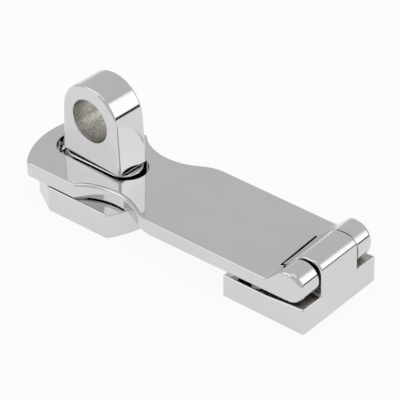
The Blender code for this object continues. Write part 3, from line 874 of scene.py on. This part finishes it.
# %% Floor
# White paper is matt. The burnt-out white is there for the camera's rays and, a little less, for mirrored
# ones. Any other ray meets plain paper, which also keeps the hasp's faint shadow in the picture.
FLOOR_RADIUS, FLOOR_LOW, FLOOR_TOP = 1.5, -11 * MM, -0.1 * MM
GLARE_SEEN, GLARE_MIRRORED = 0.9, 0.78
floor = round_bar("floor", FLOOR_RADIUS, (0, 0, FLOOR_LOW), (0, 0, FLOOR_TOP))
paper, tree, shader = new_finish("white_paper_floor")
shader.inputs["Metallic"].default_value = 0.0
shader.inputs["Base Color"].default_value = colour("F7F7F8")
shader.inputs["Roughness"].default_value = 0.9
shader.inputs["Specular IOR Level"].default_value = 0.0
ray = node(tree, "ShaderNodeLightPath").outputs
glossy = {0: ray["Is Glossy Ray"], 1: GLARE_MIRRORED}
mirrored = node(tree, "ShaderNodeMath", glossy, operation="MULTIPLY").outputs[0]
direct = {0: ray["Is Camera Ray"], 1: GLARE_SEEN, 2: mirrored}
glare = node(tree, "ShaderNodeMath", direct, operation="MULTIPLY_ADD").outputs[0]
white = node(tree, "ShaderNodeEmission", {"Strength": 1.0}).outputs[0]
burnt_out = node(tree, "ShaderNodeMixShader", {0: glare, 1: shader.outputs[0], 2: white}).outputs[0]
tree.links.new(burnt_out, tree.nodes["Material Output"].inputs["Surface"])
floor.data.materials.append(paper)
floor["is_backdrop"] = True
print(f"floor {2 * FLOOR_RADIUS:.1f} m across")

# %% Room
ROOM_GREY, STRIP_GREY = (0.65, 0.65, 0.655, 1), (0.02, 0.02, 0.02, 1)
STRIP_FULL, STRIP_GONE, STRIP_TOWARDS = 0.07, 0.11, (0.784, 0.62, 0)
room = bpy.data.worlds.new("studio_room")
bpy.context.scene.world = room
room.use_nodes = True
tree = room.node_tree
direction = node(tree, "ShaderNodeTexCoord").outputs["Generated"]
height = node(tree, "ShaderNodeSeparateXYZ", {0: direction}).outputs["Z"]
low = node(tree, "ShaderNodeMapRange", {
    "Value": height, "From Min": STRIP_FULL, "From Max": STRIP_GONE, "To Min": 1.0, "To Max": 0.0,
}).outputs[0]
facing = {0: direction, 1: STRIP_TOWARDS}
towards = node(tree, "ShaderNodeVectorMath", facing, operation="DOT_PRODUCT").outputs["Value"]
aside = node(tree, "ShaderNodeMapRange", {"Value": towards, "From Min": 0.8, "From Max": 0.9}).outputs[0]
strip = node(tree, "ShaderNodeMath", {0: low, 1: aside}, operation="MULTIPLY").outputs[0]
greys = {"Factor": strip, "A": ROOM_GREY, "B": STRIP_GREY}
shade = node(tree, "ShaderNodeMix", greys, data_type="RGBA").outputs["Result"]
camera_ray = node(tree, "ShaderNodeLightPath").outputs["Is Camera Ray"]
seen = node(tree, "ShaderNodeMix", {"Factor": camera_ray, "A": shade, "B": (1, 1, 1, 1)}, data_type="RGBA")
tree.links.new(seen.outputs["Result"], tree.nodes["Background"].inputs["Color"])
print("room:", len(tree.nodes), "nodes")

# %% The soft box at the right back
AIM = Vector((-0.03, 0, 0.015))
BOX_FAR, BOX_HALF_WIDTH, BOX_LOW, BOX_HIGH = 0.9, 0.31, -0.233, 0.36
bearing, rise = math.radians(46), math.radians(22)
out = Vector((math.sin(bearing) * math.cos(rise), math.cos(bearing) * math.cos(rise), math.sin(rise)))
across = Vector((math.cos(bearing), -math.sin(bearing), 0))
upward = across.cross(out)
shape = bmesh.new()
corners = [AIM + out * BOX_FAR + across * u * BOX_HALF_WIDTH + upward * v
           for u, v in ((-1, BOX_LOW), (1, BOX_LOW), (1, BOX_HIGH), (-1, BOX_HIGH))]
shape.faces.new([shape.verts.new(corner) for corner in corners])
box = add_piece("right_back_box", shape)
box.visible_camera = False
print("soft box at", [round(v, 2) for v in AIM + out * BOX_FAR])

# %% The glow of the soft box
BOX_GLOW = 1.45
glow, tree, shader = new_finish("soft_box_cloth")
tree.nodes.remove(shader)
spot = node(tree, "ShaderNodeTexCoord").outputs["Object"]
place = node(tree, "ShaderNodeVectorMath", {0: spot, 1: across}, operation="DOT_PRODUCT").outputs["Value"]
middle = AIM.dot(across)
share = node(tree, "ShaderNodeMapRange", {
    "Value": place, "From Min": middle - BOX_HALF_WIDTH, "From Max": middle + BOX_HALF_WIDTH,
}).outputs[0]
fade = node(tree, "ShaderNodeValToRGB", {"Fac": share})
stops = fade.color_ramp.elements
for position, level in ((0.27, 0.5), (0.37, 0.66), (0.44, 0.88)):
    stops.new(position).color = (level, level, level, 1)
stops[0].position, stops[0].color = 0.1, (0.43, 0.43, 0.43, 1)
stops[-1].position, stops[-1].color = 0.5, (1, 1, 1, 1)
emit = node(tree, "ShaderNodeEmission", {"Color": fade.outputs[0], "Strength": BOX_GLOW}).outputs[0]
tree.links.new(emit, tree.nodes["Material Output"].inputs["Surface"])
box.data.materials.append(glow)
box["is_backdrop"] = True
print("soft box cloth:", len(stops), "steps of glow")

# %% Two plain soft lamps
def soft_lamp(name, direction, distance, size, brightness):
    """A square lamp of one even brightness that faces the hasp."""
    light = bpy.data.lights.new(name, "AREA")
    light.shape = "SQUARE"
    light.size = size
    light.energy = math.pi * size * size * brightness
    lamp = bpy.data.objects.new(name, light)
    bpy.context.scene.collection.objects.link(lamp)
    lamp.location = AIM + Vector(direction).normalized() * distance
    lamp.rotation_euler = (AIM - lamp.location).to_track_quat("-Z", "Y").to_euler()
    lamp.visible_camera = False
    print(f"{name}: {light.energy:.2f} W")


soft_lamp("left_front_lamp", (-0.53, -0.62, 0.58), 0.9, 0.6, 0.62)
soft_lamp("overhead_lamp", (0, 0, 1), 1.0, 0.7, 0.42)

# %% [markdown]
# ## Camera
# The photograph was taken from the front right and above with a long lens, about 0.7 m away, so that the
# far end hardly shrinks. A camera could be aimed at the hasp with a Track To constraint, but that keeps it
# upright, and this picture leans by a degree. So the camera's three axes are written out.

# %% Camera
right = Vector((0.76745, 0.64098, -0.01290))
up = Vector((-0.36616, 0.45474, 0.81190))
back = Vector((0.52627, -0.61836, 0.58368))
lens = bpy.data.cameras.new("long_lens")
lens.sensor_width, lens.lens = 36, 261.94
camera = bpy.data.objects.new("camera", lens)
bpy.context.scene.collection.objects.link(camera)
turn = Matrix((right, up, back)).transposed().to_4x4()
camera.matrix_world = Matrix.Translation((0.3492, -0.4472, 0.4343)) @ turn
bpy.context.scene.camera = camera
bpy.context.scene.view_settings.view_transform = "Standard"
print("camera", round((camera.location - AIM).length, 3), "m away")

# %% [markdown]
# ## Last look at the sizes
# The dressed hasp has to stay inside the box of the solids. Both boxes are printed.

# %% Print both boxes
new_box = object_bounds()
for name, box in (("solids", cad_box), ("dressed", new_box)):
    print(name, [[round(v / MM, 2) for v in corner] for corner in box])
